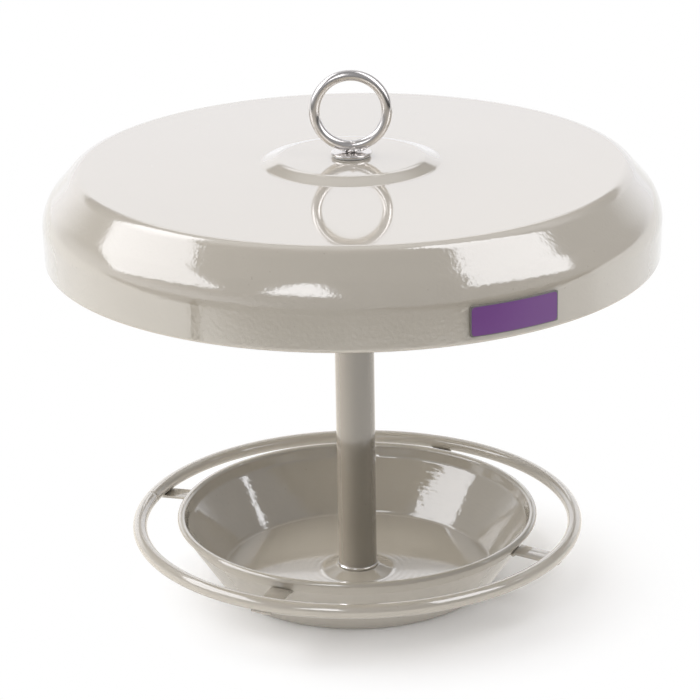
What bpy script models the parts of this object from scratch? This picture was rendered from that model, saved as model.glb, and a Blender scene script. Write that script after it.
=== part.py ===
"""Hanging bird feeder with a pressed steel roof, a tube post, a seed bowl and a round perch.

The feeder stands on the flat underside of its bowl, or hangs by the ring on its roof.
Units are metres, +Z is up, and the origin is the middle of the bowl's underside.
The front of the feeder, where the badge sits, faces -Y.
"""

import math

import bpy

# Clearances
SEAT_GAP = 0.00025
FIT_GAP = 0.0003

# Roof, one pressed sheet
ROOF_DIAMETER = 0.300
ROOF_SHEET = 0.0010
SKIRT_HEIGHT = 0.0260
SKIRT_TAPER = 0.0006
BEVEL_WIDTH = 0.0160
BEVEL_HEIGHT = 0.0177
ROOF_CROWN = 0.0005
ROOF_BOSS_DIAMETER = 0.0868
ROOF_BOSS_TOP_DIAMETER = 0.0708
ROOF_BOSS_HEIGHT = 0.0028
SHOULDER_RADIUS = 0.0200
BROW_RADIUS = 0.0080
ROOF_BOSS_RADIUS = 0.0030
EDGE_RADIUS = 0.0018
EDGE_RETURN = 0.0030

# Bowl, one pressed sheet
BOWL_DIAMETER = 0.1812
BOWL_SHEET = 0.0012
BOWL_FLOOR_DIAMETER = 0.1368
BOWL_WALL_HEIGHT = 0.0263
COLLAR_HEIGHT = 0.0047
COLLAR_FLARE = 0.0010
LIP_RADIUS = 0.0020
FLOOR_RADIUS = 0.0030
COLLAR_RADIUS = 0.0040
FLOOR_BOSS_DIAMETER = 0.0410
FLOOR_BOSS_TOP_DIAMETER = 0.0220
FLOOR_BOSS_HEIGHT = 0.0026
FLOOR_BOSS_RADIUS = 0.0015

# Post tube and the threaded plugs in its ends
POST_DIAMETER = 0.0195
POST_WALL = 0.0015
POST_LENGTH = 0.2137
PLUG_LENGTH = 0.0160
PLUG_CHAMFER = 0.0010
THREAD_DIAMETER = 0.0050

# Hanging eye, its washer and its seal
EYE_DIAMETER = 0.0400
EYE_WIRE_DIAMETER = 0.0052
EYE_SHANK_LENGTH = 0.0160
WASHER_DIAMETER = 0.0196
WASHER_THICKNESS = 0.0011
SEAL_DIAMETER = 0.0184
SEAL_THICKNESS = 0.0005

# Screw under the bowl
SCREW_HEAD_DIAMETER = 0.0095
SCREW_HEAD_HEIGHT = 0.0018
SCREW_LENGTH = 0.0150
SCREW_TIP_CHAMFER = 0.0006
SOCKET_WIDTH = 0.0030
SOCKET_DEPTH = 0.0010

# Perch ring and the strips that carry it
PERCH_STANDOFF = 0.0190
PERCH_ROD_DIAMETER = 0.0070
TAB_COUNT = 4
TAB_FIRST_ANGLE = math.radians(65.0)
TAB_WIDTH = 0.0104
TAB_THICKNESS = 0.0015
TAB_BELOW_COLLAR = 0.0021
TAB_SLOPE = 0.080
TAB_SETBACK = 0.0013

# Blank badge on the skirt
BADGE_WIDTH = 0.0452
BADGE_HEIGHT = 0.0132
BADGE_THICKNESS = 0.0009
BADGE_LIFT = 0.0046
BADGE_ANGLE = math.radians(28.3)

# Facets
SHEET_STEPS = 56
ROD_STEPS = 72
SMALL_STEPS = 32
ARC_STEPS = 3
WIRE_SIDES = 12
BADGE_STEPS = 8

# Places that follow from the sizes above, as heights over the ground
FLOOR_TOP = BOWL_SHEET
SEAT_TOP = FLOOR_TOP + FLOOR_BOSS_HEIGHT
COLLAR_FOOT = FLOOR_TOP + BOWL_WALL_HEIGHT
POST_FOOT = SEAT_TOP + SEAT_GAP
POST_TOP = POST_FOOT + POST_LENGTH
ROOF_TOP = POST_TOP + SEAT_GAP + ROOF_SHEET
ROOF_PLANE = ROOF_TOP - ROOF_BOSS_HEIGHT
BROW_HEIGHT = ROOF_PLANE - ROOF_CROWN
SHOULDER_HEIGHT = BROW_HEIGHT - BEVEL_HEIGHT
ROOF_EDGE = SHOULDER_HEIGHT - SKIRT_HEIGHT
SEAL_FOOT = ROOF_TOP + SEAT_GAP
WASHER_FOOT = SEAL_FOOT + SEAL_THICKNESS + SEAT_GAP
EYE_FOOT = WASHER_FOOT + WASHER_THICKNESS + SEAT_GAP
TAB_TOP = COLLAR_FOOT - TAB_BELOW_COLLAR
PERCH_HEIGHT = TAB_TOP + SEAT_GAP + PERCH_ROD_DIAMETER / 2

# Radii that follow from the sizes above
ROOF_RADIUS = ROOF_DIAMETER / 2
COLLAR_RIM = BOWL_DIAMETER / 2 - 2 * LIP_RADIUS
WALL_TOP = COLLAR_RIM - COLLAR_FLARE
WALL_FOOT = BOWL_FLOOR_DIAMETER / 2
POST_RADIUS = POST_DIAMETER / 2
POST_BORE = POST_RADIUS - POST_WALL
THREAD_RADIUS = THREAD_DIAMETER / 2
THREAD_HOLE = THREAD_RADIUS + FIT_GAP
EYE_RADIUS = (EYE_DIAMETER - EYE_WIRE_DIAMETER) / 2
PERCH_RADIUS = BOWL_DIAMETER / 2 + PERCH_STANDOFF


def clear_scene():
    """Remove every object, so that the script can run again in the same file."""
    for item in list(bpy.data.objects):
        bpy.data.objects.remove(item, do_unlink=True)


def make_collection(name):
    """Return the collection of that name, linked to the scene."""
    collection = bpy.data.collections.get(name)
    if collection is None:
        collection = bpy.data.collections.new(name)
        bpy.context.scene.collection.children.link(collection)
    return collection


def make_material(name, colour, roughness, metallic=0.0):
    """Return a Principled material with one even colour."""
    material = bpy.data.materials.new(name)
    material.use_nodes = True
    shader = material.node_tree.nodes["Principled BSDF"]
    shader.inputs["Base Color"].default_value = (*colour, 1.0)
    shader.inputs["Roughness"].default_value = roughness
    shader.inputs["Metallic"].default_value = metallic
    return material


def rounded_profile(corners):
    """Return (radius, height) points along straight runs, with an arc at each rounded corner.

    Each corner is (radius, height, fillet), and a fillet of zero leaves the corner sharp.
    """
    points = []
    for index, (radius, height, fillet) in enumerate(corners):
        if fillet == 0.0:
            points.append((radius, height))
            continue
        before = corners[index - 1]
        after = corners[index + 1]
        heading_in = math.atan2(height - before[1], radius - before[0])
        heading_out = math.atan2(after[1] - height, after[0] - radius)
        turn = math.remainder(heading_out - heading_in, math.tau)
        side = math.copysign(1.0, turn)
        tangent = fillet * math.tan(abs(turn) / 2)
        start_r = radius - tangent * math.cos(heading_in)
        start_z = height - tangent * math.sin(heading_in)
        centre_r = start_r - side * fillet * math.sin(heading_in)
        centre_z = start_z + side * fillet * math.cos(heading_in)
        for step in range(ARC_STEPS + 1):
            heading = heading_in + turn * step / ARC_STEPS
            points.append((centre_r + side * fillet * math.sin(heading),
                           centre_z - side * fillet * math.cos(heading)))
    return points


def arc_points(centre, radius, start, end):
    """Return points on an arc in the profile plane, after its first one."""
    angles = [start + (end - start) * step / ARC_STEPS for step in range(1, ARC_STEPS + 1)]
    return [(centre[0] + radius * math.cos(angle), centre[1] + radius * math.sin(angle))
            for angle in angles]


def finish(item, material, height=0.0):
    """Give a piece its material and its place on the feeder's axis, and file it."""
    item.data.materials.append(material)
    item.location.z = height
    for collection in list(item.users_collection):
        collection.objects.unlink(item)
    PARTS.objects.link(item)
    return item


def add_turned(name, profile, steps, closed):
    """Turn a profile of (radius, height) points about Z with a Screw modifier."""
    mesh = bpy.data.meshes.new(name)
    count = len(profile)
    edges = [(index, index + 1) for index in range(count - 1)]
    if closed:
        edges.append((count - 1, 0))
    mesh.from_pydata([(radius, 0.0, height) for radius, height in profile], edges, [])
    item = bpy.data.objects.new(name, mesh)
    bpy.context.scene.collection.objects.link(item)
    screw = item.modifiers.new("Turn", "SCREW")
    screw.axis = "Z"
    screw.angle = math.tau
    screw.steps = steps
    screw.render_steps = steps
    screw.use_merge_vertices = True
    screw.merge_threshold = 0.00001
    screw.use_smooth_shade = True
    return item


def add_sheet(name, profile, thickness, steps):
    """Turn an open profile and thicken it below its face, as a pressed sheet."""
    item = add_turned(name, profile, steps, closed=False)
    solidify = item.modifiers.new("Sheet", "SOLIDIFY")
    solidify.thickness = thickness
    solidify.offset = -1.0
    solidify.use_even_offset = True
    return item


def add_ring(name, outer, inner, thickness, steps):
    """Make a flat ring that stands on its own z = 0 plane."""
    profile = [(inner, thickness), (outer, thickness), (outer, 0.0), (inner, 0.0)]
    return add_turned(name, profile, steps, closed=True)


def add_cutter(item):
    """File a cutting or joining shape away from the parts."""
    item.hide_render = True
    item.display_type = "WIRE"
    for collection in list(item.users_collection):
        collection.objects.unlink(item)
    CUTTERS.objects.link(item)
    return item


def combine(item, other, operation):
    """Join or cut a piece with another shape by an exact Boolean modifier."""
    boolean = item.modifiers.new(operation.title(), "BOOLEAN")
    boolean.operation = operation
    boolean.object = other
    boolean.solver = "EXACT"


def add_outline(name, points, thickness):
    """Make a plate from a flat outline in XY, centred on its own z = 0 plane."""
    curve = bpy.data.curves.new(name, "CURVE")
    curve.dimensions = "2D"
    curve.fill_mode = "BOTH"
    curve.extrude = thickness / 2
    spline = curve.splines.new("POLY")
    spline.points.add(len(points) - 1)
    for point, (x, y) in zip(spline.points, points):
        point.co = (x, y, 0.0, 1.0)
    spline.use_cyclic_u = True
    item = bpy.data.objects.new(name, curve)
    bpy.context.scene.collection.objects.link(item)
    return item


def build_roof():
    """Press the roof: centre boss, flat top, bevel, round shoulder, skirt and turned-in edge."""
    edge_radius = ROOF_RADIUS - SKIRT_TAPER
    drop = ROOF_EDGE - ROOF_TOP
    profile = rounded_profile([
        (THREAD_HOLE, 0.0, 0.0),
        (ROOF_BOSS_TOP_DIAMETER / 2, 0.0, ROOF_BOSS_RADIUS),
        (ROOF_BOSS_DIAMETER / 2, ROOF_PLANE - ROOF_TOP, ROOF_BOSS_RADIUS),
        (ROOF_RADIUS - BEVEL_WIDTH, BROW_HEIGHT - ROOF_TOP, BROW_RADIUS),
        (ROOF_RADIUS, SHOULDER_HEIGHT - ROOF_TOP, SHOULDER_RADIUS),
        (edge_radius, drop, EDGE_RADIUS),
        (edge_radius - EDGE_RETURN, drop, 0.0),
    ])
    roof = add_sheet("roof", profile, ROOF_SHEET, SHEET_STEPS)
    return finish(roof, PAINT, ROOF_TOP)


def build_bowl():
    """Press the bowl: floor boss, flat floor, sloping wall, upright collar and rolled lip."""
    profile = rounded_profile([
        (THREAD_HOLE, SEAT_TOP, 0.0),
        (FLOOR_BOSS_TOP_DIAMETER / 2, SEAT_TOP, FLOOR_BOSS_RADIUS),
        (FLOOR_BOSS_DIAMETER / 2, FLOOR_TOP, FLOOR_BOSS_RADIUS),
        (WALL_FOOT, FLOOR_TOP, FLOOR_RADIUS),
        (WALL_TOP, COLLAR_FOOT, COLLAR_RADIUS),
        (COLLAR_RIM, COLLAR_FOOT + COLLAR_HEIGHT, 0.0),
    ])
    lip_centre = (COLLAR_RIM + LIP_RADIUS, COLLAR_FOOT + COLLAR_HEIGHT)
    profile += arc_points(lip_centre, LIP_RADIUS, math.pi, 0.0)
    bowl = add_sheet("bowl", profile, BOWL_SHEET, SHEET_STEPS)
    return finish(bowl, PAINT)


def build_post():
    """Make the tube and the threaded plug in each of its ends."""
    tube = [(POST_BORE, POST_LENGTH), (POST_RADIUS, POST_LENGTH), (POST_RADIUS, 0.0), (POST_BORE, 0.0)]
    finish(add_turned("post_tube", tube, SMALL_STEPS, closed=True), POST_PAINT, POST_FOOT)
    radius = POST_BORE - FIT_GAP
    plug = [
        (THREAD_HOLE, PLUG_LENGTH),
        (radius - PLUG_CHAMFER, PLUG_LENGTH),
        (radius, PLUG_LENGTH - PLUG_CHAMFER),
        (radius, PLUG_CHAMFER),
        (radius - PLUG_CHAMFER, 0.0),
        (THREAD_HOLE, 0.0),
    ]
    plug_places = {"foot_plug": POST_FOOT, "top_plug": POST_TOP - PLUG_LENGTH}
    for name, height in plug_places.items():
        finish(add_turned(name, plug, SMALL_STEPS, closed=True), STEEL, height)


def build_eye():
    """Make the hanging ring with its threaded shank, and the washer and seal under it."""
    seal = add_ring("eye_seal", SEAL_DIAMETER / 2, THREAD_HOLE, SEAL_THICKNESS, SMALL_STEPS)
    finish(seal, RUBBER, SEAL_FOOT)
    washer = add_ring("eye_washer", WASHER_DIAMETER / 2, THREAD_HOLE, WASHER_THICKNESS, SMALL_STEPS)
    finish(washer, STEEL, WASHER_FOOT)

    bpy.ops.mesh.primitive_torus_add(
        major_radius=EYE_RADIUS, minor_radius=EYE_WIRE_DIAMETER / 2,
        major_segments=SMALL_STEPS, minor_segments=WIRE_SIDES, rotation=(math.pi / 2, 0.0, 0.0))
    eye = bpy.context.object
    eye.name = "eye_bolt"
    eye.data.transform(eye.matrix_basis.copy())
    eye.rotation_euler = (0.0, 0.0, 0.0)
    eye.data.shade_smooth()
    centre = EYE_FOOT + EYE_DIAMETER / 2
    finish(eye, STEEL, centre)

    shank_length = EYE_SHANK_LENGTH + EYE_WIRE_DIAMETER / 2
    bpy.ops.mesh.primitive_cylinder_add(
        vertices=SMALL_STEPS, radius=THREAD_RADIUS, depth=shank_length,
        location=(0.0, 0.0, centre - EYE_RADIUS - shank_length / 2))
    shank = add_cutter(bpy.context.object)
    shank.name = "eye_shank"
    combine(eye, shank, "UNION")


def build_base_screw():
    """Make the low-headed screw that holds the bowl to the post from below."""
    head_top = SEAT_TOP - BOWL_SHEET - SEAT_GAP
    head_foot = head_top - SCREW_HEAD_HEIGHT
    profile = rounded_profile([
        (0.0, SCREW_LENGTH, 0.0),
        (THREAD_RADIUS - SCREW_TIP_CHAMFER, SCREW_LENGTH, 0.0),
        (THREAD_RADIUS, SCREW_LENGTH - SCREW_TIP_CHAMFER, 0.0),
        (THREAD_RADIUS, 0.0, 0.0),
        (SCREW_HEAD_DIAMETER / 2, 0.0, 0.0),
        (SCREW_HEAD_DIAMETER / 2, -SCREW_HEAD_HEIGHT, SCREW_HEAD_HEIGHT / 2),
        (0.0, -SCREW_HEAD_HEIGHT, 0.0),
    ])
    screw = finish(add_turned("base_screw", profile, SMALL_STEPS, closed=False), STEEL, head_top)
    bpy.ops.mesh.primitive_cylinder_add(
        vertices=6, radius=SOCKET_WIDTH / math.sqrt(3.0), depth=2 * SOCKET_DEPTH,
        location=(0.0, 0.0, head_foot))
    socket = add_cutter(bpy.context.object)
    socket.name = "screw_socket"
    combine(screw, socket, "DIFFERENCE")


def build_perch():
    """Make the perch ring and the strips that slope down to it from the bowl's wall."""
    bpy.ops.mesh.primitive_torus_add(
        major_radius=PERCH_RADIUS, minor_radius=PERCH_ROD_DIAMETER / 2,
        major_segments=ROD_STEPS, minor_segments=WIRE_SIDES)
    ring = bpy.context.object
    ring.name = "perch_ring"
    ring.data.shade_smooth()
    finish(ring, PAINT, PERCH_HEIGHT)

    lean = (WALL_TOP - WALL_FOOT) / BOWL_WALL_HEIGHT
    wall_across = BOWL_SHEET * math.hypot(1.0, lean)
    tip = PERCH_RADIUS + PERCH_ROD_DIAMETER / 2 - TAB_SETBACK
    roots = []
    for drop in (0.0, TAB_THICKNESS):
        height_at_axis = TAB_TOP - drop - FLOOR_TOP + TAB_SLOPE * PERCH_RADIUS
        reach = WALL_FOOT + lean * height_at_axis + wall_across + FIT_GAP
        roots.append(reach / (1.0 + lean * TAB_SLOPE))
    corners = [(tip, 0.0), (roots[0], 0.0), (roots[1], TAB_THICKNESS), (tip, TAB_THICKNESS)]
    outline = [(radius, TAB_SLOPE * (PERCH_RADIUS - radius) - drop) for radius, drop in corners]
    for index in range(TAB_COUNT):
        tab = add_outline(f"perch_tab_{index + 1}", outline, TAB_WIDTH)
        tab.rotation_euler = (math.pi / 2, 0.0, TAB_FIRST_ANGLE + math.tau * index / TAB_COUNT)
        finish(tab, PAINT, TAB_TOP)


def build_badge():
    """Make the blank badge plate that follows the roof's skirt."""
    inner = ROOF_RADIUS + FIT_GAP
    outer = inner + BADGE_THICKNESS
    half_angle = BADGE_WIDTH / outer / 2
    angles = [half_angle * (2 * step / BADGE_STEPS - 1) for step in range(BADGE_STEPS + 1)]
    outline = [(outer * math.sin(angle), -outer * math.cos(angle)) for angle in angles]
    outline += [(inner * math.sin(angle), -inner * math.cos(angle)) for angle in reversed(angles)]
    badge = add_outline("badge", outline, BADGE_HEIGHT)
    badge.rotation_euler.z = BADGE_ANGLE
    finish(badge, BADGE_FILM, ROOF_EDGE + BADGE_LIFT + BADGE_HEIGHT / 2)


clear_scene()
PARTS = make_collection("bird_feeder")
CUTTERS = make_collection("bird_feeder_cutters")
PAINT = make_material("gloss_taupe_paint", (0.44, 0.41, 0.355), 0.12)
POST_PAINT = make_material("satin_taupe_paint", (0.36, 0.335, 0.29), 0.42)
STEEL = make_material("plated_steel", (0.80, 0.78, 0.77), 0.14, 1.0)
RUBBER = make_material("grey_rubber", (0.18, 0.18, 0.18), 0.75)
BADGE_FILM = make_material("purple_badge", (0.105, 0.028, 0.19), 0.18)

build_bowl()
build_base_screw()
build_post()
build_roof()
build_eye()
build_perch()
build_badge()
bpy.context.view_layer.update()
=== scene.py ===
"""Bird feeder in a studio: fine surfaces, finishes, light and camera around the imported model.

Lengths are metres. The feeder stands on z = 0, its post is the Z axis, and its front faces -Y.
"""

import logging
import math
from dataclasses import dataclass, field
from enum import Enum
from functools import cached_property

import bmesh
import bpy
from mathutils import Matrix, Vector


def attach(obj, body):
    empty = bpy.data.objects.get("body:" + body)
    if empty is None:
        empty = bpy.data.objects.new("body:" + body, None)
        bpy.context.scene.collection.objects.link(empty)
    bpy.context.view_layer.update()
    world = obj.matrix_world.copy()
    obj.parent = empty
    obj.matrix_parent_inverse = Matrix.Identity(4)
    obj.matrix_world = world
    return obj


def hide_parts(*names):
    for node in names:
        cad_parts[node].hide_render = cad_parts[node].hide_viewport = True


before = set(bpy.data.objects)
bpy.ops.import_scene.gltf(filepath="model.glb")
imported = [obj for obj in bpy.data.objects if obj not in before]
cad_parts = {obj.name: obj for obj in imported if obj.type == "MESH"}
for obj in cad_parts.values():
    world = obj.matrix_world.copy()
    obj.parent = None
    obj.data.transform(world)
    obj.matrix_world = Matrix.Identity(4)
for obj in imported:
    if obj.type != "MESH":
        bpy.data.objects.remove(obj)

Material = bpy.types.Material
Triple = tuple[float, float, float]
Colour = Triple
Span = tuple[float, float]

LOG = logging.getLogger("bird_feeder")
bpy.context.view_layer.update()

# The lamps and what the room shows in mirror images are slightly cool.
LAMP_TONE: Colour = (0.985, 0.99, 1.03)

# Points closer than this are one, and edges that turn more than this are shaded as sharp.
SAME_POINT = 0.000001
SHARP_TURN = math.radians(38.0)

CENTRE = (0.0, 0.0, 0.0)
UPWARDS = (0.0, 0.0, 1.0)
QUARTER = math.pi / 2


class Body(Enum):
    """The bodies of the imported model."""

    FEEDER = "feeder"
    WASHER = "washer"
    EYE = "eye"


class Slot(Enum):
    """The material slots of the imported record."""

    GLOSS_PAINT = "gloss_paint"
    SATIN_PAINT = "satin_paint"
    PLATED_STEEL = "plated_steel"
    RUBBER = "rubber"
    BADGE_FILM = "badge_film"


class Outline(Enum):
    """How the two ends of a traced profile meet."""

    OPEN = "open"
    CLOSED = "closed"


class Signal:
    """A shader output that takes part in Python arithmetic."""

    def __init__(self, graph: "ShaderGraph", socket: bpy.types.NodeSocket) -> None:
        """Keep the output and the graph that it belongs to."""
        self.graph = graph
        self.socket = socket

    def math(self, operation: str, *operands: "Signal | float") -> "Signal":
        """Add a Math node.

        Args:
            operation: The node's operation.
            operands: Its inputs in order.

        Returns:
            The node's result.
        """
        return self.graph.node("ShaderNodeMath", {"operation": operation}, dict(enumerate(operands)))

    def __add__(self, other: "Signal | float") -> "Signal":
        """Return the sum."""
        return self.math("ADD", self, other)

    __radd__ = __add__

    def __sub__(self, other: "Signal | float") -> "Signal":
        """Return the difference."""
        return self.math("SUBTRACT", self, other)

    def __rsub__(self, other: float) -> "Signal":
        """Return a number less this."""
        return self.math("SUBTRACT", other, self)

    def __mul__(self, other: "Signal | float") -> "Signal":
        """Return the product."""
        return self.math("MULTIPLY", self, other)

    __rmul__ = __mul__

    def __pow__(self, power: float) -> "Signal":
        """Return this raised to a power."""
        return self.math("POWER", self, power)

    def __abs__(self) -> "Signal":
        """Return the size without its sign."""
        return self.math("ABSOLUTE", self)

    def ramp(self, low: float, high: float) -> "Signal":
        """Rise smoothly from 0 at low to 1 at high.

        Args:
            low: The value that gives 0.
            high: The value that gives 1.

        Returns:
            The eased value.
        """
        return self.graph.node(
            "ShaderNodeMapRange", {"interpolation_type": "SMOOTHSTEP"},
            {"Value": self, "From Min": low, "From Max": high})


class ShaderGraph:
    """The nodes of one material, one lamp or the world."""

    def __init__(self, owner: Material | bpy.types.World | bpy.types.Light) -> None:
        """Open the node tree of a material, a lamp or the world."""
        owner.use_nodes = True
        self.owner, self.tree = owner, owner.node_tree

    def node(self, kind: str, settings: dict[str, object] | None = None,
             sockets: dict[str | int, object] | None = None, output: str | int = 0) -> Signal:
        """Add one node.

        Args:
            kind: The node's type.
            settings: Its properties, set before its sockets.
            sockets: Values or signals for its inputs, by name or number.
            output: The output to hand back.

        Returns:
            That output as a signal.
        """
        node = self.tree.nodes.new(kind)
        for name, value in (settings or {}).items():
            setattr(node, name, value)
        for name, value in (sockets or {}).items():
            self.feed(node.inputs[name], value)
        return Signal(self, node.outputs[output])

    def feed(self, socket: bpy.types.NodeSocket, value: object) -> None:
        """Link a signal to an input, or set its value.

        Args:
            socket: The input.
            value: A signal or a plain value.
        """
        if isinstance(value, Signal):
            self.tree.links.new(value.socket, socket)
        else:
            socket.default_value = value

    def principled(self, **sockets: object) -> None:
        """Set or link inputs of the Principled shader, named with underscores for spaces."""
        for name, value in sockets.items():
            self.feed(self.tree.nodes["Principled BSDF"].inputs[name.replace("_", " ")], value)

    @cached_property
    def place(self) -> Signal:
        """The object coordinates."""
        return self.node("ShaderNodeTexCoord", output="Object")

    def axis(self, name: str, vector: Signal | None = None) -> Signal:
        """Return one axis of a vector, or of the object coordinates."""
        return self.node("ShaderNodeSeparateXYZ", sockets={0: vector or self.place}, output=name)

    def noise(self, scale: float, detail: float = 2.0, roughness: float = 0.5,
              vector: Signal | None = None) -> Signal:
        """Add fractal noise.

        Args:
            scale: Cells per metre.
            detail: Octaves.
            roughness: Weight of the finer octaves.
            vector: Where it is read, the object coordinates unless given.

        Returns:
            The noise, from 0 to 1.
        """
        return self.node("ShaderNodeTexNoise", sockets={
            "Vector": vector or self.place, "Scale": scale, "Detail": detail, "Roughness": roughness})

    def stretch(self, scale: Triple) -> Signal:
        """Return the object coordinates scaled along their axes."""
        return self.node("ShaderNodeMapping", sockets={"Vector": self.place, "Scale": scale})

    def blend(self, factor: Signal | float, first: object, second: object) -> Signal:
        """Mix two colours.

        Args:
            factor: The share of the second.
            first: A colour or signal.
            second: A colour or signal.

        Returns:
            The mixed colour.
        """
        return self.node("ShaderNodeMix", {"data_type": "RGBA"},
                         {0: factor, 6: self.rgba(first), 7: self.rgba(second)}, 2)

    def mottle(self, factor: Signal, colour: Colour, tones: Span) -> Signal:
        """Vary a colour between a darker and a lighter tone of it."""
        return self.blend(factor, *(shade(colour, tone) for tone in tones))

    def bump(self, height: Signal, distance: float) -> Signal:
        """Turn a height into a normal.

        Args:
            height: The relief, from 0 to 1.
            distance: The height of 1.

        Returns:
            The bumped normal.
        """
        return self.node("ShaderNodeBump", sockets={"Height": height, "Distance": distance})

    def seen(self) -> Signal:
        """Tell the rays that show a surface from those that light one.

        Returns:
            1 for a surface seen straight, in a mirror or through another, otherwise 0.
        """
        camera, glossy, clear = (self.node("ShaderNodeLightPath", output=name)
                                 for name in ("Is Camera Ray", "Is Glossy Ray", "Is Transmission Ray"))
        return camera.math("MINIMUM", camera + glossy + clear, 1.0)

    @staticmethod
    def rgba(colour: object) -> object:
        """Give a plain colour its alpha and leave a signal as it is."""
        return colour if isinstance(colour, Signal) else (*colour, 1.0)


def shade(colour: Colour, factor: float) -> Colour:
    """Return a colour made lighter or darker by a factor."""
    return tuple(channel * factor for channel in colour)


@dataclass(frozen=True)
class GlossPaint:
    """Gloss paint baked on pressed steel, with faint orange peel.

    Spinning leaves rings on a turned sheet, and ring_depth is how far they show through. Above the
    height flat_above and under flat_below the sheet is flat, and only flat_share of the peel is left.
    """

    name: str
    colour: Colour = (0.424, 0.384, 0.320)
    roughness: float = 0.055
    haze: float = 0.035
    ior: float = 2.15
    coat_ior: float = 1.6
    coat_roughness: float = 0.02
    peel_depth: float = 0.000085
    peel_scale: float = 560.0
    flat_above: float = 1.0
    flat_below: float = -1.0
    flat_fade: float = 0.0008
    flat_share: float = 0.18
    ring_depth: float = 0.0
    ring_pitch: float = 0.0030

    def material(self) -> Material:
        """Make the material.

        Returns:
            The material.
        """
        graph = ShaderGraph(bpy.data.materials.new(self.name))
        colour = graph.mottle(graph.noise(14.0, 3.0), self.colour, (0.975, 1.02))
        speck = graph.noise(620.0, 1.0).ramp(0.775, 0.80)
        colour = graph.blend(speck * 0.35, colour, shade(self.colour, 0.62))
        height = graph.axis("Z")
        flat = height.ramp(self.flat_above - self.flat_fade, self.flat_above) + 1.0 - height.ramp(
            self.flat_below, self.flat_below + self.flat_fade)
        peel = graph.noise(self.peel_scale, 1.5, 0.4) * (1.0 - flat * (1.0 - self.flat_share))
        relief = peel + speck * 0.3
        if self.ring_depth:
            relief = relief + self._rings(graph) * (self.ring_depth / self.peel_depth)
        graph.principled(
            Base_Color=colour, Roughness=self.roughness + graph.noise(42.0, 4.0) * self.haze,
            IOR=self.ior, Coat_Weight=1.0, Coat_Roughness=self.coat_roughness,
            Coat_IOR=self.coat_ior, Normal=graph.bump(relief, self.peel_depth))
        return graph.owner

    def _rings(self, graph: ShaderGraph) -> Signal:
        """Draw the rings that spinning leaves.

        Args:
            graph: The material's nodes.

        Returns:
            Their height, from -1 to 1.
        """
        radius = (graph.axis("X") ** 2.0 + graph.axis("Y") ** 2.0) ** 0.5
        run = radius + graph.axis("Z")
        phase = run * (math.tau / self.ring_pitch) + graph.noise(26.0) * 9.0
        return phase.math("SINE", phase)


@dataclass(frozen=True)
class SatinPaint:
    """Grainy gloss paint on the tube in painted shade, rubbed off to bright steel under bare_below."""

    name: str = "post_paint_painted_shade"
    # The paint made much darker than on the roof: painted shade for the tube under the roof.
    colour: Colour = (0.138, 0.120, 0.094)
    roughness: float = 0.060
    haze: float = 0.03
    ior: float = 2.5
    coat_roughness: float = 0.04
    grain_depth: float = 0.000026
    steel: Colour = (0.86, 0.85, 0.83)
    steel_roughness: float = 0.12
    bare_below: float = 0.0053
    bare_fade: float = 0.00025
    bare_ragged: float = 0.0003

    def material(self) -> Material:
        """Make the material.

        Returns:
            The material.
        """
        graph = ShaderGraph(bpy.data.materials.new(self.name))
        grain = graph.noise(900.0, 2.0, 0.6)
        cloud = graph.noise(1.0, 3.0, vector=graph.stretch((60.0, 60.0, 22.0)))
        ragged = graph.axis("Z") + grain * self.bare_ragged
        bare = 1.0 - ragged.ramp(self.bare_below, self.bare_below + self.bare_fade)
        colour = graph.mottle(cloud, self.colour, (0.95, 1.04))
        speck = graph.noise(520.0, 1.0).ramp(0.76, 0.79)
        colour = graph.blend(speck * 0.45, colour, shade(self.colour, 0.55))
        colour = graph.blend(bare, colour, self.steel)
        roughness = (self.roughness + cloud * self.haze) * (1.0 - bare) + self.steel_roughness * bare
        graph.principled(Base_Color=colour, Roughness=roughness, Metallic=bare, IOR=self.ior,
                         Coat_Weight=1.0 - bare, Coat_Roughness=self.coat_roughness,
                         Normal=graph.bump(grain * (1.0 - bare), self.grain_depth))
        return graph.owner


@dataclass(frozen=True)
class PlatedSteel:
    """Bright plated wire and washers with fine drawing marks and a little tarnish."""

    name: str = "bright_plating"
    colour: Colour = (0.80, 0.77, 0.745)
    roughness: float = 0.15
    haze: float = 0.10
    tarnish_roughness: float = 0.12
    mark_depth: float = 0.0000035

    def material(self) -> Material:
        """Make the material.

        Returns:
            The material.
        """
        graph = ShaderGraph(bpy.data.materials.new(self.name))
        cloud = graph.noise(180.0, 4.0)
        marks = graph.noise(1900.0, 2.0, 0.7)
        tarnish = graph.noise(90.0, 5.0, 0.65).ramp(0.56, 0.80)
        graph.principled(
            Base_Color=graph.blend(tarnish * 0.5, self.colour, shade(self.colour, 0.68)), Metallic=1.0,
            Roughness=self.roughness + cloud * self.haze + tarnish * self.tarnish_roughness,
            Normal=graph.bump(marks + cloud * 1.5, self.mark_depth))
        return graph.owner


@dataclass(frozen=True)
class SealRubber:
    """Matt grey sealing rubber."""

    name: str = "seal_rubber"
    colour: Colour = (0.60, 0.59, 0.58)
    roughness: float = 0.62
    haze: float = 0.2
    grain_depth: float = 0.00001

    def material(self) -> Material:
        """Make the material.

        Returns:
            The material.
        """
        graph = ShaderGraph(bpy.data.materials.new(self.name))
        bloom = graph.noise(300.0, 4.0)
        graph.principled(
            Base_Color=graph.mottle(bloom, self.colour, (1.0, 1.15)),
            Roughness=self.roughness + bloom * self.haze,
            Normal=graph.bump(graph.noise(2400.0), self.grain_depth))
        return graph.owner


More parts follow.
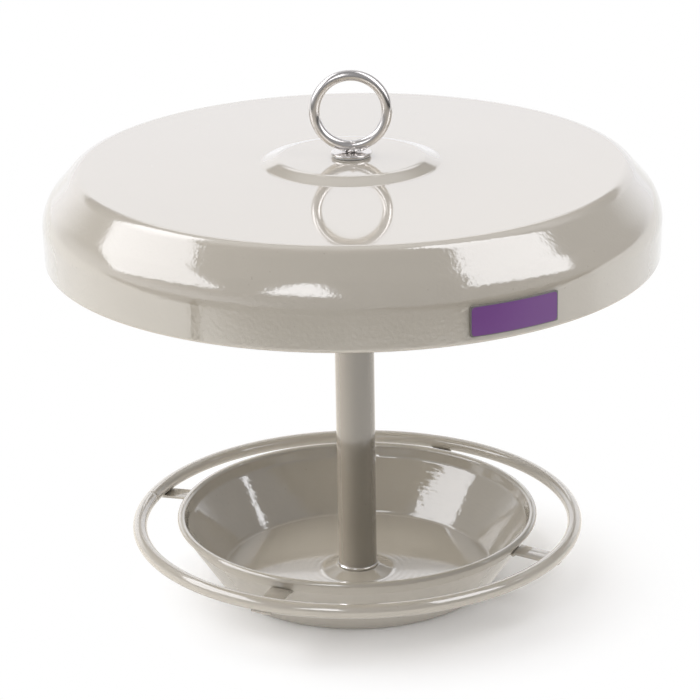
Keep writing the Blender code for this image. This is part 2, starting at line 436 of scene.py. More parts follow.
@dataclass(frozen=True)
class BadgeResin:
    """Blank printed film under clear domed resin, with a dark line of painted shade round its edge.

    The first six are the badge's own sizes, with its angle taken from the front.
    """

    radius: float
    centre: float
    half_height: float
    half_angle: float
    angle: float
    corner: float
    name: str = "badge_resin"
    colour: Colour = (0.150, 0.060, 0.200)
    # The dark line at the edge: painted shade for the gap round the badge.
    rim: Colour = (0.135, 0.125, 0.120)
    rim_from: float = 0.00050
    rim_to: float = 0.00034
    roughness: float = 0.10
    haze: float = 0.06
    ior: float = 1.5
    wave_depth: float = 0.000012

    def material(self) -> Material:
        """Make the material.

        Returns:
            The material.
        """
        graph = ShaderGraph(bpy.data.materials.new(self.name))
        side, front = graph.axis("X"), graph.axis("Y") * -1.0
        bearing = side.math("ARCTAN2", side, front)
        past_side = (abs(bearing - self.angle) - self.half_angle) * self.radius + self.corner
        past_top = abs(graph.axis("Z") - self.centre) - self.half_height + self.corner
        past_side, past_top = (past.math("MAXIMUM", past, 0.0) for past in (past_side, past_top))
        outwards = (past_side * past_side + past_top * past_top) ** 0.5
        # Painted shade along the badge's edge.
        edge = outwards.ramp(self.corner - self.rim_from, self.corner - self.rim_to)
        cloud = graph.noise(70.0, 3.0)
        colour = graph.mottle(cloud, self.colour, (0.93, 1.07))
        colour = graph.blend(graph.noise(2600.0) * 0.25, colour, shade(self.colour, 1.18))
        graph.principled(
            Base_Color=graph.blend(edge, colour, self.rim), IOR=self.ior,
            Roughness=self.roughness + cloud * self.haze,
            Normal=graph.bump(graph.noise(160.0), self.wave_depth))
        return graph.owner


@dataclass(frozen=True)
class Corner:
    """One corner of a profile, at a radius and a height, with the radius of its rounding."""

    radius: float
    height: float
    fillet: float = 0.0


class Workpiece:
    """One piece while its mesh is shaped."""

    def __init__(self, name: str) -> None:
        """Start an empty mesh."""
        self.name = name
        self.mesh = bmesh.new()

    def trace(self, corners: list[Corner], outline: Outline = Outline.OPEN, segments: int = 10) -> None:
        """Draw a profile in the XZ plane and round its corners.

        Args:
            corners: The corners in order.
            outline: Whether the last corner joins the first.
            segments: Facets in each rounding.
        """
        points = [self.mesh.verts.new((corner.radius, 0.0, corner.height)) for corner in corners]
        for start, end in zip(points, points[1:]):
            self.mesh.edges.new((start, end))
        if outline is Outline.CLOSED:
            self.mesh.edges.new((points[-1], points[0]))
        spots = [point.co.copy() for point in points]
        for index, corner in enumerate(corners):
            if corner.fillet == 0.0:
                continue
            before = spots[index] - spots[index - 1]
            after = spots[(index + 1) % len(spots)] - spots[index]
            bmesh.ops.bevel(
                self.mesh, geom=[points[index]], offset=corner.fillet * math.tan(before.angle(after) / 2),
                offset_type="OFFSET", affect="VERTICES", segments=segments, profile=0.5, material=-1)
        bmesh.ops.remove_doubles(self.mesh, verts=self.mesh.verts[:], dist=SAME_POINT)
        self._brace()

    def _brace(self, least: float = 0.0030, margin: float = 0.0004) -> None:
        """Split the long straights near their ends, so that shading turns at the roundings alone.

        Args:
            least: The shortest straight that is split.
            margin: How far from its ends.
        """
        for edge in [edge for edge in self.mesh.edges if edge.calc_length() > least]:
            start, end = edge.verts
            share = margin / edge.calc_length()
            _, near = bmesh.utils.edge_split(edge, start, share)
            rest = next(link for link in end.link_edges if near in link.verts)
            bmesh.utils.edge_split(rest, end, share / (1.0 - share))

    def turn(self, steps: int, angle: float = math.tau) -> None:
        """Spin the traced profile about Z.

        Args:
            steps: Facets in the turn.
            angle: How far it turns, a full circle unless given.
        """
        bmesh.ops.spin(
            self.mesh, geom=self.mesh.verts[:] + self.mesh.edges[:], cent=CENTRE,
            axis=UPWARDS, angle=angle, steps=steps, use_merge=angle == math.tau)
        self.close()

    def bend(self, ring: float, wire: float, seam: float, steps: int, fillet: float) -> float:
        """Bend round wire about Z into a ring whose ends butt.

        Args:
            ring: Radius of the wire's middle line.
            wire: Radius of the wire.
            seam: The gap between its ends.
            steps: Facets in the turn.
            fillet: Rounding of its ends.

        Returns:
            The angle that the gap takes up.
        """
        bmesh.ops.create_circle(
            self.mesh, segments=40, radius=wire,
            matrix=Matrix.Translation((ring, 0.0, 0.0)) @ Matrix.Rotation(QUARTER, 4, "X"))
        gap = seam / ring
        self.turn(steps, math.tau - gap)
        self.cap()
        self.soften(math.radians(60.0), fillet)
        return gap

    def close(self) -> None:
        """Merge doubled points and point the faces outwards."""
        bmesh.ops.remove_doubles(self.mesh, verts=self.mesh.verts[:], dist=SAME_POINT)
        bmesh.ops.recalc_face_normals(self.mesh, faces=self.mesh.faces[:])

    def cap(self) -> None:
        """Fill the open ends of a tube."""
        ends = [edge for edge in self.mesh.edges if edge.is_boundary]
        bmesh.ops.holes_fill(self.mesh, edges=ends, sides=0)
        self.close()

    def soften(self, limit: float, offset: float, segments: int = 3) -> None:
        """Round the edges that turn more than an angle.

        Args:
            limit: The least angle between faces.
            offset: Width of the rounding.
            segments: Facets across it.
        """
        edges = [edge for edge in self.mesh.edges if edge.calc_face_angle(0.0) > limit]
        bmesh.ops.bevel(self.mesh, geom=edges, offset=offset, offset_type="OFFSET", affect="EDGES",
                        segments=segments, profile=0.5, material=-1, clamp_overlap=True)

    def thicken(self, thickness: float) -> None:
        """Give a sheet that faces up its thickness below.

        Args:
            thickness: The sheet's thickness.
        """
        if sum(face.normal.z * face.calc_area() for face in self.mesh.faces) < 0.0:
            bmesh.ops.reverse_faces(self.mesh, faces=self.mesh.faces[:])
        bmesh.ops.solidify(self.mesh, geom=self.mesh.faces[:], thickness=thickness)

    def lump(self, place: Triple, radii: Triple) -> None:
        """Add one squashed bead of weld metal.

        Args:
            place: Its middle.
            radii: Its half sizes along the axes.
        """
        bmesh.ops.create_icosphere(self.mesh, subdivisions=3, radius=1.0,
                                   matrix=Matrix.Translation(place) @ Matrix.Diagonal((*radii, 1.0)))

    def move(self, matrix: Matrix) -> None:
        """Transform the whole mesh."""
        bmesh.ops.transform(self.mesh, matrix=matrix, verts=self.mesh.verts[:])

    def finish(self, material: Material, body: Body, slot: Slot,
               nodes: tuple[str, ...] = ()) -> None:
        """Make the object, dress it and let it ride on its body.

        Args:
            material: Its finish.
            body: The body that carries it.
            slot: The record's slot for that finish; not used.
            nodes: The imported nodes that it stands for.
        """
        for face in self.mesh.faces:
            face.smooth = True
        for edge in self.mesh.edges:
            edge.smooth = edge.calc_face_angle(0.0) < SHARP_TURN
        data = bpy.data.meshes.new(self.name)
        self.mesh.to_mesh(data)
        self.mesh.free()
        data.materials.append(material)
        item = bpy.data.objects.new(self.name, data)
        bpy.context.scene.collection.objects.link(item)
        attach(item, body.value)
        if nodes:
            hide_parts(*nodes)
        LOG.info("%s: %d faces on %s", self.name, len(data.polygons), body.value)


def dress_node(name: str, material: Material) -> None:
    """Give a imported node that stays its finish.

    Args:
        name: The node.
        material: Its finish.
    """
    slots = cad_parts[name].data.materials
    slots.clear()
    slots.append(material)
    LOG.info("%s: packed node dressed", name)


@dataclass
class Roof:
    """The pressed roof: boss, flat top, bevel, round shoulder, skirt and turned-in edge."""

    paint: Material
    hole: float = 0.0028
    boss_top: float = 0.0354
    boss_foot: float = 0.0434
    brow: float = 0.1340
    rim: float = 0.1500
    edge: float = 0.1494
    edge_return: float = 0.0030
    top_height: float = 0.2190
    plane_height: float = 0.2162
    brow_height: float = 0.2157
    shoulder_height: float = 0.1980
    edge_height: float = 0.1720
    boss_top_fillet: float = 0.0100
    boss_foot_fillet: float = 0.0060
    brow_fillet: float = 0.0080
    shoulder_fillet: float = 0.0200
    edge_fillet: float = 0.0018
    sheet: float = 0.0010
    steps: int = 288

    def build(self) -> None:
        """Press the roof from one sheet."""
        piece = Workpiece("roof_pressing")
        piece.trace([
            Corner(self.hole, self.top_height),
            Corner(self.boss_top, self.top_height, self.boss_top_fillet),
            Corner(self.boss_foot, self.plane_height, self.boss_foot_fillet),
            Corner(self.brow, self.brow_height, self.brow_fillet),
            Corner(self.rim, self.shoulder_height, self.shoulder_fillet),
            Corner(self.edge, self.edge_height, self.edge_fillet),
            Corner(self.edge - self.edge_return, self.edge_height),
        ])
        piece.turn(self.steps)
        piece.thicken(self.sheet)
        piece.finish(self.paint, Body.FEEDER, Slot.GLOSS_PAINT, ("roof",))


@dataclass
class Badge:
    """The blank badge on the skirt, domed resin over a printed film."""

    inner: float = 0.1503
    thickness: float = 0.0009
    width: float = 0.0452
    height: float = 0.0142
    centre: float = 0.1832
    angle: float = math.radians(28.3)
    corner: float = 0.0023
    edge_fillet: float = 0.00030
    edge_turn: float = math.radians(50.0)
    steps: int = 40

    def build(self) -> None:
        """Bend the plate round the skirt and round its corners and edges."""
        outer = self.inner + self.thickness
        span = self.width / outer
        low, high = self.centre - self.height / 2, self.centre + self.height / 2
        piece = Workpiece("badge_plate")
        piece.trace([Corner(self.inner, low), Corner(outer, low), Corner(outer, high),
                     Corner(self.inner, high)], Outline.CLOSED)
        piece.turn(self.steps, span)
        piece.cap()
        self._round_corners(piece)
        piece.soften(self.edge_turn, self.edge_fillet, segments=4)
        piece.move(Matrix.Rotation(self.angle - QUARTER - span / 2, 4, "Z"))
        resin = BadgeResin(outer, self.centre, self.height / 2, span / 2, self.angle, self.corner)
        piece.finish(resin.material(), Body.FEEDER, Slot.BADGE_FILM, ("badge",))

    def _round_corners(self, piece: Workpiece) -> None:
        """Round the four corners of the plate as seen from the front.

        Args:
            piece: The bent plate, with square corners.
        """
        corners = [edge for edge in piece.mesh.edges if edge.calc_face_angle(0.0) > self.edge_turn
                   and abs(edge.calc_length() - self.thickness) < self.thickness / 100]
        bmesh.ops.bevel(piece.mesh, geom=corners, offset=self.corner, offset_type="OFFSET", affect="EDGES",
                        segments=6, profile=0.5, material=-1, clamp_overlap=False)


@dataclass
class Bowl:
    """The pressed seed bowl and the screw under it."""

    paint: Material
    steel: Material
    hole: float = 0.0028
    seat: float = 0.0110
    boss_foot: float = 0.0180
    floor: float = 0.0684
    wall_top: float = 0.0856
    collar: float = 0.0866
    rim: float = 0.0906
    seat_height: float = 0.0038
    floor_height: float = 0.0012
    collar_foot: float = 0.0275
    lip_top: float = 0.0342
    lip: float = 0.0020
    sheet: float = 0.0012
    seat_fillet: float = 0.0006
    boss_fillet: float = 0.0060
    floor_fillet: float = 0.0016
    wall_fillet: float = 0.0040
    lip_share: float = 0.999
    steps: int = 256

    def build(self) -> None:
        """Press the bowl from one sheet and dress the screw."""
        lip_fillet = self.lip * self.lip_share
        piece = Workpiece("bowl_pressing")
        piece.trace([
            Corner(self.hole, self.seat_height),
            Corner(self.seat, self.seat_height, self.seat_fillet),
            Corner(self.boss_foot, self.floor_height, self.boss_fillet),
            Corner(self.floor, self.floor_height, self.floor_fillet),
            Corner(self.wall_top, self.collar_foot, self.wall_fillet),
            Corner(self.collar, self.lip_top - self.lip),
            Corner(self.collar, self.lip_top, lip_fillet),
            Corner(self.rim, self.lip_top, lip_fillet),
            Corner(self.rim, self.lip_top - self.lip),
        ])
        piece.turn(self.steps)
        piece.thicken(self.sheet)
        dress_node("base_screw", self.steel)
        piece.finish(self.paint, Body.FEEDER, Slot.GLOSS_PAINT, ("bowl",))


@dataclass
class Post:
    """The tube between bowl and roof, and the plugs inside its ends."""

    steel: Material
    radius: float = 0.00975
    bore: float = 0.00825
    foot: float = 0.00405
    top: float = 0.21775
    end_fillet: float = 0.0008
    lip: float = 0.0006
    lip_height: float = 0.0010
    lip_shoulder: float = 0.0013
    lip_fillet: float = 0.0003
    lip_top_fillet: float = 0.0004
    steps: int = 96

    def build(self) -> None:
        """Turn the tube and dress its plugs."""
        piece = Workpiece("post")
        piece.trace([
            Corner(self.bore, self.foot),
            Corner(self.radius + self.lip, self.foot, self.lip_fillet),
            Corner(self.radius + self.lip, self.foot + self.lip_height, self.lip_top_fillet),
            Corner(self.radius, self.foot + self.lip_shoulder, self.lip_fillet),
            Corner(self.radius, self.top, self.end_fillet),
            Corner(self.bore, self.top),
        ], Outline.CLOSED, segments=6)
        piece.turn(self.steps)
        for plug in ("foot_plug", "top_plug"):
            dress_node(plug, self.steel)
        piece.finish(SatinPaint().material(), Body.FEEDER, Slot.SATIN_PAINT, ("post_tube",))


@dataclass
class HangingEye:
    """The wire eye with its threaded shank, the washer and the seal."""

    steel: Material
    centre: float = 0.24135
    ring: float = 0.0174
    wire: float = 0.0026
    shank_top: float = 0.2230
    shank_length: float = 0.0176
    shank_fillet: float = 0.0004
    thread: float = 0.0025
    thread_root: float = 0.00205
    thread_buried: float = 0.0001
    thread_crest: float = 0.00005
    thread_share: float = 0.46
    thread_turns: int = 17
    pitch: float = 0.0008
    seam: float = 0.00006
    seam_lean: float = 0.06
    end_fillet: float = 0.00035
    bead_height: float = 0.0011
    washer: float = 0.0098
    washer_foot: float = 0.2200
    washer_top: float = 0.2211
    washer_fillet: float = 0.00035
    seal: float = 0.0092
    seal_foot: float = 0.21925
    seal_top: float = 0.21975
    seal_fillet: float = 0.00015
    hole: float = 0.0028

    def build(self) -> None:
        """Make the eye, its thread, the washer and the seal."""
        self._ring()
        self._weld()
        self._shank()
        self._thread()
        washer = self._disc(
            "washer_plate", self.washer, self.washer_foot, self.washer_top, self.washer_fillet)
        washer.finish(self.steel, Body.WASHER, Slot.PLATED_STEEL, ("eye_washer",))
        seal = self._disc("seal_disc", self.seal, self.seal_foot, self.seal_top, self.seal_fillet)
        seal.finish(SealRubber().material(), Body.WASHER, Slot.RUBBER, ("eye_seal",))

    def _ring(self) -> None:
        """Bend the wire round until its ends butt at the bottom."""
        piece = Workpiece("eye_ring")
        gap = piece.bend(self.ring, self.wire, self.seam, steps=144, fillet=self.end_fillet)
        upright = Matrix.Translation((0.0, 0.0, self.centre)) @ Matrix.Rotation(QUARTER, 4, "X")
        piece.move(upright @ Matrix.Rotation(gap / 2 - QUARTER + self.seam_lean, 4, "Z"))
        piece.finish(self.steel, Body.EYE, Slot.PLATED_STEEL, ("eye_bolt",))

    def _weld(self) -> None:
        """Set the beads of weld that hold the ring on its shank."""
        piece = Workpiece("eye_weld")
        inside = self.centre - self.ring + self.wire
        low = self.washer_top + self.bead_height
        beads = (
            ((0.0008, -0.0012, inside - 0.0003), (0.0013, 0.0016, 0.0008)),
            ((0.0042, -0.0010, low + 0.0001), (0.0021, 0.0020, 0.0009)),
            ((0.0062, -0.0006, low + 0.0006), (0.0013, 0.0014, 0.0008)),
            ((-0.0036, -0.0008, low), (0.0017, 0.0018, 0.0007)),
            ((0.0010, -0.0022, low), (0.0021, 0.0012, 0.0008)),
            ((0.0004, 0.0021, low), (0.0026, 0.0012, 0.0007)),
        )
        for place, radii in beads:
            piece.lump(place, radii)
        piece.finish(self.steel, Body.EYE, Slot.PLATED_STEEL)

    def _shank(self) -> None:
        """Turn the shank."""
        piece = Workpiece("eye_shank")
        foot = self.shank_top - self.shank_length
        piece.trace([
            Corner(0.0, foot),
            Corner(self.thread_root, foot, self.shank_fillet),
            Corner(self.thread_root, self.shank_top),
            Corner(0.0, self.shank_top),
        ])
        piece.turn(steps=32)
        piece.finish(self.steel, Body.EYE, Slot.PLATED_STEEL)

    def _thread(self, per_turn: int = 28) -> None:
        """Wind the thread round the shank.

        Args:
            per_turn: Facets in a turn.
        """
        piece = Workpiece("eye_thread")
        start = self.shank_top - self.shank_length + self.pitch
        half = self.pitch * self.thread_share
        buried = self.thread_root - self.thread_buried
        piece.trace([
            Corner(buried, start - half),
            Corner(self.thread, start, self.thread_crest),
            Corner(buried, start + half),
        ], Outline.CLOSED, segments=2)
        bmesh.ops.spin(
            piece.mesh, geom=piece.mesh.verts[:] + piece.mesh.edges[:], cent=CENTRE, axis=UPWARDS,
            dvec=(0.0, 0.0, self.pitch / per_turn), angle=math.tau * self.thread_turns,
            steps=self.thread_turns * per_turn)
        piece.cap()
        piece.finish(self.steel, Body.EYE, Slot.PLATED_STEEL)

    def _disc(self, name: str, radius: float, low: float, high: float, fillet: float) -> Workpiece:
        """Turn a flat ring.

        Args:
            name: Its name.
            radius: Outer radius.
            low: Height of its underside.
            high: Height of its top.
            fillet: Rounding of its outer edges.

        Returns:
            The turned piece.
        """
        piece = Workpiece(name)
        piece.trace([Corner(self.hole, low), Corner(radius, low, fillet), Corner(radius, high, fillet),
                     Corner(self.hole, high, fillet / 2)], Outline.CLOSED, segments=5)
        piece.turn(steps=96)
        return piece


@dataclass
class Perch:
    """The perch ring of bent rod, and the strips that carry it."""

    paint: Material
    ring: float = 0.1096
    rod: float = 0.0035
    height: float = 0.02915
    seam: float = 0.00018
    seam_angle: float = math.radians(165.0)
    end_fillet: float = 0.0003
    tab_first: float = math.radians(65.0)
    tab_count: int = 4
    tab_width: float = 0.0104
    tab_thickness: float = 0.0015
    tab_top: float = 0.0254
    tab_slope: float = 0.080
    tab_root: float = 0.08714
    tab_root_low: float = 0.08620
    tab_tip: float = 0.1095
    tab_fillet: float = 0.0003
    beads: tuple[float, ...] = (-0.0038, -0.0012, 0.0019, 0.0040)
    bead_spread: float = 0.22
    tip_bead: Triple = (0.0009, 0.0018, 0.0009)
    root_bead: Triple = (0.0010, 0.0020, 0.0008)

    def build(self) -> None:
        """Make the ring, the strips and their welds."""
        piece = Workpiece("perch_rod")
        piece.bend(self.ring, self.rod, self.seam, steps=320, fillet=self.end_fillet)
        piece.move(Matrix.Translation((0.0, 0.0, self.height)) @ Matrix.Rotation(self.seam_angle, 4, "Z"))
        piece.finish(self.paint, Body.FEEDER, Slot.GLOSS_PAINT, ("perch_ring",))
        for index in range(self.tab_count):
            self._tab(index)
            self._weld(index)

    def _bearing(self, index: int) -> Matrix:
        """Return the turn from the X axis to one strip."""
        return Matrix.Rotation(self.tab_first + math.tau * index / self.tab_count, 4, "Z")

    def _slope(self, radius: float) -> float:
        """Return the height of a strip's top at a radius."""
        return self.tab_top + self.tab_slope * (self.ring - radius)

    def _weld(self, index: int) -> None:
        """Set the painted beads of weld at one strip's tip and root.

        Args:
            index: The strip's number round the bowl, from 0.
        """
        piece = Workpiece(f"perch_weld_{index + 1}")
        tip = (self.tab_tip + 0.0002, self.tab_top - 0.0005)
        root = (self.tab_root_low + 0.0004, self._slope(self.tab_root) - self.tab_thickness - 0.0002)
        for number, across in enumerate(self.beads):
            size = 1.0 + self.bead_spread * math.sin(1.7 * number + 2.3 * index)
            for (radius, height), bead in ((tip, self.tip_bead), (root, self.root_bead)):
                piece.lump((radius, across, height), tuple(half * size for half in bead))
        piece.move(self._bearing(index))
        piece.finish(self.paint, Body.FEEDER, Slot.GLOSS_PAINT)

    def _tab(self, index: int) -> None:
        """Cut one strip.

        Args:
            index: Its number round the bowl, from 0.
        """
        def corner(radius: float, drop: float = 0.0) -> Corner:
            """Return a corner on the strip's slope or below it."""
            return Corner(radius, self._slope(radius) - drop)

        piece = Workpiece(f"perch_strip_{index + 1}")
        piece.trace([
            corner(self.tab_tip),
            corner(self.tab_root),
            corner(self.tab_root_low, self.tab_thickness),
            corner(self.tab_tip, self.tab_thickness),
        ], Outline.CLOSED)
        bmesh.ops.contextual_create(piece.mesh, geom=piece.mesh.edges[:])
        sweep = bmesh.ops.extrude_face_region(piece.mesh, geom=piece.mesh.faces[:])["geom"]
        moved = [part for part in sweep if isinstance(part, bmesh.types.BMVert)]
        bmesh.ops.translate(piece.mesh, verts=moved, vec=(0.0, self.tab_width, 0.0))
        piece.close()
        piece.soften(math.radians(40.0), self.tab_fillet)
        piece.move(self._bearing(index) @ Matrix.Translation((0.0, -self.tab_width / 2, 0.0)))
        piece.finish(self.paint, Body.FEEDER, Slot.GLOSS_PAINT, (f"perch_tab_{index + 1}",))


@dataclass(frozen=True)
class Softbox:
    """A studio lamp seen from the feeder, a rectangle or a four-sided shape within one.

    The azimuth runs from the front towards the right. The level is its brightness, where 1 is white.
    Yaw and tip turn it away from the feeder, and edge is the share of its height over which it fades.
    Corners run round the shape and are measured from its middle. Flags keep it off the pieces in shade.
    A lamp with pieces under only is a small reflector close by, which fills those alone.
    """

    name: str
    azimuth: float
    elevation: float
    distance: float
    width: float
    height: float
    level: float
    roll: float = 0.0
    yaw: float = 0.0
    tip: float = 0.0
    edge: float = 0.08
    corners: tuple[tuple[float, float], ...] = ()
    shade: tuple[str, ...] = ()
    only: tuple[str, ...] = ()

    @staticmethod
    def way(azimuth: float, elevation: float) -> Vector:
        """Return the direction of an azimuth and an elevation in degrees."""
        turn, rise = math.radians(azimuth), math.radians(elevation)
        return Vector((math.cos(rise) * math.sin(turn), -math.cos(rise) * math.cos(turn), math.sin(rise)))

    def build(self, target: Vector) -> None:
        """Hang the lamp round a point.

        Args:
            target: The point that its place is measured from.
        """
        data = bpy.data.lights.new(self.name, "AREA")
        data.shape = "RECTANGLE"
        data.size = self.width
        data.size_y = self.height
        data.energy = self.level * math.pi * self.width * self.height
        data.color = LAMP_TONE
        data.use_shadow = not self.only
        self._mask(data)
        lamp = bpy.data.objects.new(self.name, data)
        facing = self.way(self.azimuth + self.yaw, self.elevation + self.tip)
        roll = Matrix.Rotation(math.radians(self.roll), 4, "Z")
        place = target + self.way(self.azimuth, self.elevation) * self.distance
        turn = facing.to_track_quat("Z", "Y").to_matrix().to_4x4() @ roll
        lamp.matrix_world = Matrix.Translation(place) @ turn
        lamp.visible_camera = False
        bpy.context.scene.collection.objects.link(lamp)
        if self.only or self.shade:
            self._flag(lamp)

    def _mask(self, data: bpy.types.AreaLight) -> None:
        """Cut the lamp to its shape with soft edges.

        Args:
            data: The lamp's data.
        """
        graph = ShaderGraph(data)
        spot = graph.node("ShaderNodeNewGeometry", output="Parametric")
        across = (graph.axis("X", spot) - 0.5) * self.width
        along = (graph.axis("Y", spot) - 0.5) * self.height
        half, rise = self.width / 2, self.height / 2
        corners = self.corners or ((-half, -rise), (half, -rise), (half, rise), (-half, rise))
        fade = across * 0.0 + 1.0
        for (x, y), (end_x, end_y) in zip(corners, corners[1:] + corners[:1]):
            length = math.hypot(end_x - x, end_y - y)
            inside = (along - y) * ((end_x - x) / length) - (across - x) * ((end_y - y) / length)
            fade = fade * inside.ramp(0.0, self.edge * self.height)
        graph.feed(graph.tree.nodes["Emission"].inputs["Strength"], fade)

    def _flag(self, lamp: bpy.types.Object) -> None:
        """Keep the lamp off the pieces in shade, or off all but its own.

        Args:
            lamp: The lamp.
        """
        flags = bpy.data.collections.new(f"{self.name}_flags")
        lamp.light_linking.receiver_collection = flags
        for name in self.only or self.shade:
            flags.objects.link(bpy.data.objects[name])
        for flagged in flags.collection_objects:
            flagged.light_linking.link_state = "INCLUDE" if self.only else "EXCLUDE"


@dataclass(frozen=True)
class Floor:
    """The white floor, which keeps the shadow by the feeder and stays pale around it.

    Mirror images show it with painted shade, each part by its own share: in front, far off, at the right
    flank and along a stand aslant on the left, and painted shadow under the perch ring and under the bowl.
    """

    half_width: float = 6.0
    drop: float = 0.0002
    # A warm tint on the floor in mirror images near the feeder: painted bounce light.
    painted_bounce: Colour = (1.0, 0.95, 0.88)

    def build(self) -> None:
        """Lay the floor a little below the bowl's foot."""
        mesh = bmesh.new()
        bmesh.ops.create_grid(mesh, x_segments=1, y_segments=1, size=self.half_width,
                              matrix=Matrix.Translation((0.0, 0.0, -self.drop)))
        data = bpy.data.meshes.new("studio_floor")
        mesh.to_mesh(data)
        mesh.free()
        data.materials.append(self._paper())
        floor = bpy.data.objects.new("studio_floor", data)
        bpy.context.scene.collection.objects.link(floor)

    def _paper(self) -> Material:
        """Make the paper, which takes shadow near the feeder and is plain white farther off.

        Returns:
            The material.
        """
        graph = ShaderGraph(bpy.data.materials.new("floor_paper"))
        graph.tree.nodes.clear()
        paper = graph.blend(graph.noise(300.0), (0.95, 0.95, 0.95), (0.97, 0.97, 0.97))
        plain = graph.node("ShaderNodeBsdfDiffuse", sockets={"Color": paper})
        soft = graph.node("ShaderNodeBsdfDiffuse", sockets={"Color": (1.0, 0.995, 0.99, 1.0)})
        mirrored = graph.node("ShaderNodeLightPath", output="Is Glossy Ray")
        run, depth = graph.axis("X"), graph.axis("Y")
        off = (run * run + depth * depth) ** 0.5
        # Painted bounce light: mirror images see the floor tinted warm near the feeder.
        painted_bounce = graph.blend(mirrored * (1.0 - off.ramp(0.32, 0.55)), (1.0, 1.0, 1.0), self.painted_bounce)
        # In mirror images this white is dimmed by painted shade and painted shadow.
        white = graph.node("ShaderNodeEmission", sockets={
            "Color": painted_bounce, "Strength": 1.0 - mirrored * self._painted_shade(run, depth, off)})
        across, along = run - 0.026, depth + 0.014
        reach = ((across * across + along * along) ** 0.5).ramp(0.085, 0.145)
        reach = reach.math("MAXIMUM", reach, mirrored)
        shown = graph.node("ShaderNodeMixShader", sockets={0: reach, 1: soft, 2: white})
        surface = graph.node("ShaderNodeMixShader", sockets={0: graph.seen(), 1: plain, 2: shown})
        graph.feed(graph.tree.nodes.new("ShaderNodeOutputMaterial").inputs["Surface"], surface)
        return graph.owner

    @staticmethod
    def _painted_shade(run: Signal, depth: Signal, off: Signal) -> Signal:
        """Add up the painted shade and shadow that mirror images show on the floor's white.

        Args:
            run: The place along X.
            depth: The place along Y.
            off: The distance from the post.

        Returns:
            The share of painted shade.
        """
        # Painted shade in mirror images: in front, along a dark stand, at the right flank and far off.
        front = (abs(run) * 0.28 - depth - 0.49).ramp(-0.02, 0.14)
        beside = (run + 0.071) * 0.545 - (depth + 0.132) * 0.839
        stand = beside.ramp(-0.042, -0.035) * (1.0 - beside.ramp(-0.010, -0.003))
        stand = stand * (1.0 - run.ramp(-0.30, -0.25))
        flank = run.ramp(0.25, 0.45) * (1.0 - depth.ramp(-0.10, 0.05))
        # Painted shadow on the floor under the perch ring and under the bowl.
        under = 1.0 - off.ramp(0.100, 0.125)
        contact_shadow = 1.0 - off.ramp(0.0690, 0.0725)
        far = off.ramp(0.12, 0.40)
        return front * 0.74 + far * 0.035 + under * 0.36 + contact_shadow * 0.20 + flank * 0.22 + stand * 0.80


class Room:
    """The room, white to the camera, with its own levels in mirror images and as a light."""

    def build(self) -> None:
        """Paint the room."""
        world = bpy.data.worlds.new("studio_room")
        bpy.context.scene.world = world
        graph = ShaderGraph(world)
        way = graph.node("ShaderNodeTexCoord", output="Generated")
        glossy = graph.node("ShaderNodeLightPath", output="Is Glossy Ray")
        plain = graph.seen() - glossy
        strength = plain + glossy * self._mirrored(way) + (1.0 - plain - glossy) * self._lit(way)
        inputs = graph.tree.nodes["Background"].inputs
        graph.feed(inputs["Strength"], strength)
        graph.feed(inputs["Color"], graph.blend(glossy, (1.0, 1.0, 1.0), LAMP_TONE))

    @staticmethod
    def _mirrored(way: Signal) -> Signal:
        """Show it in mirror images, bright behind up to a gap under the lamps.

        Args:
            way: The direction.

        Returns:
            The brightness.
        """
        side, back, height = (way.graph.axis(name, way) for name in "XYZ")
        behind = back.ramp(0.50, 0.85) * (1.0 - height.ramp(0.36, 0.405))
        gap = back.ramp(0.50, 0.85) * height.ramp(0.36, 0.40)
        gap_top = gap * height.ramp(0.4185, 0.4190) * (1.0 - height.ramp(0.50, 0.62))
        gap_top = gap_top * (1.0 - abs(side).ramp(0.12, 0.25))
        above = back.ramp(0.15, 0.45) * height.ramp(0.55, 0.75)
        left = (side * -1.0).ramp(0.30, 0.90) * (1.0 - abs(height).ramp(0.06, 0.30))
        level = behind.math("MAXIMUM", behind, left * 0.50) * 0.76 + above * 0.35 + 0.32
        return level + gap_top * 1.15 - gap * 0.08

    @staticmethod
    def _lit(way: Signal) -> Signal:
        """Light the feeder from a band over a low dim part, brighter behind and on the left.

        Args:
            way: The direction.

        Returns:
            The brightness.
        """
        side, back, height = (way.graph.axis(name, way) for name in "XYZ")
        front = (back * -1.0).ramp(0.15, 0.85)
        low = 1.0 - height.ramp(0.02, 0.28)
        band = (1.0 - low) * (1.0 - height.ramp(0.68, 0.86))
        left, right = (side * -1.0).ramp(0.2, 0.9), side.ramp(0.2, 0.85)
        around = 1.0 + left * 0.40 - right * 0.62
        level = (band * 1.50 + low * 0.52) * (1.0 - front * 0.77) * around
        return level + band * back.ramp(0.0, 0.6) * 0.95 + 0.06


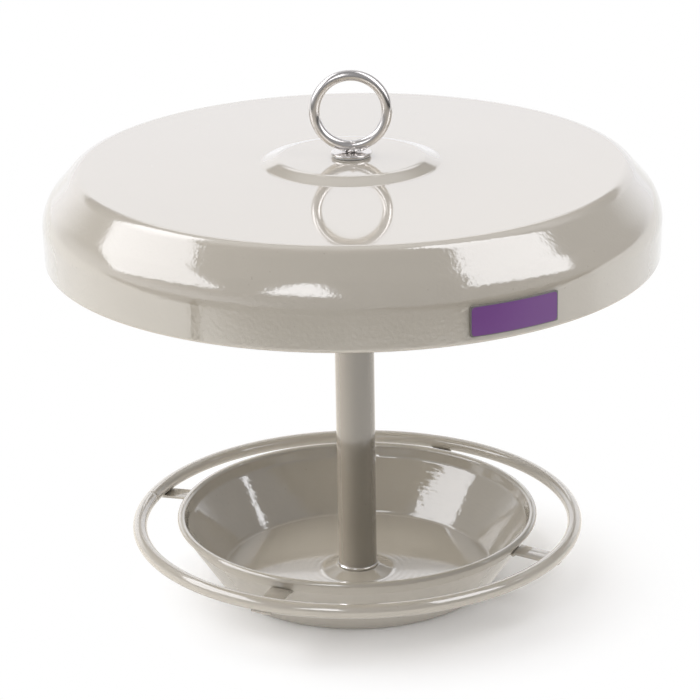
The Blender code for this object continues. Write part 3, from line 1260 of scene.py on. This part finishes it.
@dataclass
class Studio:
    """The floor, the lamps, the room, and the camera with the photo's view and focal length."""

    focal_pixels: float = 2709.094
    photo_pixels: float = 700.0
    sensor: float = 36.0
    camera_place: Vector = field(default_factory=lambda: Vector((0.0, -1.2580, 0.5794)))
    pitch: float = math.radians(20.09)
    pan: float = math.radians(-0.10)
    roll: float = math.radians(0.97)
    aim: Vector = field(default_factory=lambda: Vector((0.0, 0.0, 0.16)))
    lamps: tuple[Softbox, ...] = (
        Softbox("right_softbox", azimuth=74.03, elevation=58.23, distance=0.6630, width=1.088,
                height=0.700, level=2.35, roll=43.3, yaw=15.97, tip=-39.13, edge=0.04,
                corners=((-0.385, -0.335), (0.435, 0.059), (0.544, 0.265), (-0.544, 0.108)),
                shade=("bowl_pressing",)),
        Softbox("left_softbox", azimuth=-107.15, elevation=47.94, distance=0.8888, width=2.229,
                height=0.860, level=2.05, roll=-24.2, yaw=0.45, tip=-29.04, edge=0.04,
                corners=((-0.500, -0.095), (0.505, -0.415), (1.114, 0.343), (-0.500, 0.148))),
        Softbox("front_fill", azimuth=-19.0, elevation=38.0, distance=1.6, width=0.92,
                height=0.96, level=2.6, edge=0.16,
                corners=((-0.46, -0.48), (0.46, -0.48), (0.10, 0.48), (-0.10, 0.48))),
        Softbox("side_spot", azimuth=90.0, elevation=26.0, distance=1.9, width=0.16,
                height=0.30, level=3.0, edge=0.2, shade=("roof_pressing",)),
        Softbox("post_reflector", azimuth=-90.0, elevation=8.0, distance=0.9, width=0.80,
                height=0.42, level=25.0, edge=0.2, only=("post",)),
    )

    def build(self) -> None:
        """Make the whole set."""
        self._camera()
        Floor().build()
        Room().build()
        for lamp in self.lamps:
            lamp.build(self.aim)

    def _camera(self) -> None:
        """Stand the camera in its place and turn it."""
        data = bpy.data.cameras.new("camera")
        data.sensor_fit = "HORIZONTAL"
        data.sensor_width = self.sensor
        data.lens = self.focal_pixels / self.photo_pixels * self.sensor
        data.clip_end = 50.0
        level = Vector((math.cos(self.pan), -math.sin(self.pan), 0.0))
        flat = Vector((math.sin(self.pan), math.cos(self.pan), 0.0))
        forward = flat * math.cos(self.pitch) - Vector(UPWARDS) * math.sin(self.pitch)
        upright = level.cross(forward)
        right = level * math.cos(self.roll) - upright * math.sin(self.roll)
        up = level * math.sin(self.roll) + upright * math.cos(self.roll)
        camera = bpy.data.objects.new("camera", data)
        camera.matrix_world = Matrix.Translation(self.camera_place) @ Matrix(
            (right, up, -forward)).transposed().to_4x4()
        bpy.context.scene.collection.objects.link(camera)
        bpy.context.scene.camera = camera


def main() -> None:
    """Build every sub-assembly, then the studio."""
    logging.basicConfig(level=logging.INFO, format="%(name)s %(message)s")
    bpy.context.scene.view_settings.view_transform = "Standard"
    steel = PlatedSteel().material()
    sheet_paint = GlossPaint("roof_paint", flat_above=0.2158).material()
    # The bowl's paint is a little lighter than the roof's: painted light for the bowl in the roof's shade.
    bowl_paint = GlossPaint("bowl_paint", peel_depth=0.000140, peel_scale=230.0, ring_depth=0.0000040,
                            flat_below=0.0022, flat_share=0.05, colour=(0.436, 0.396, 0.330)).material()
    rod_paint = GlossPaint("perch_paint", peel_depth=0.000040).material()
    Roof(sheet_paint).build()
    Badge().build()
    Bowl(bowl_paint, steel).build()
    Post(steel).build()
    HangingEye(steel).build()
    Perch(rod_paint).build()
    Studio().build()


if __name__ == "__main__":
    main()
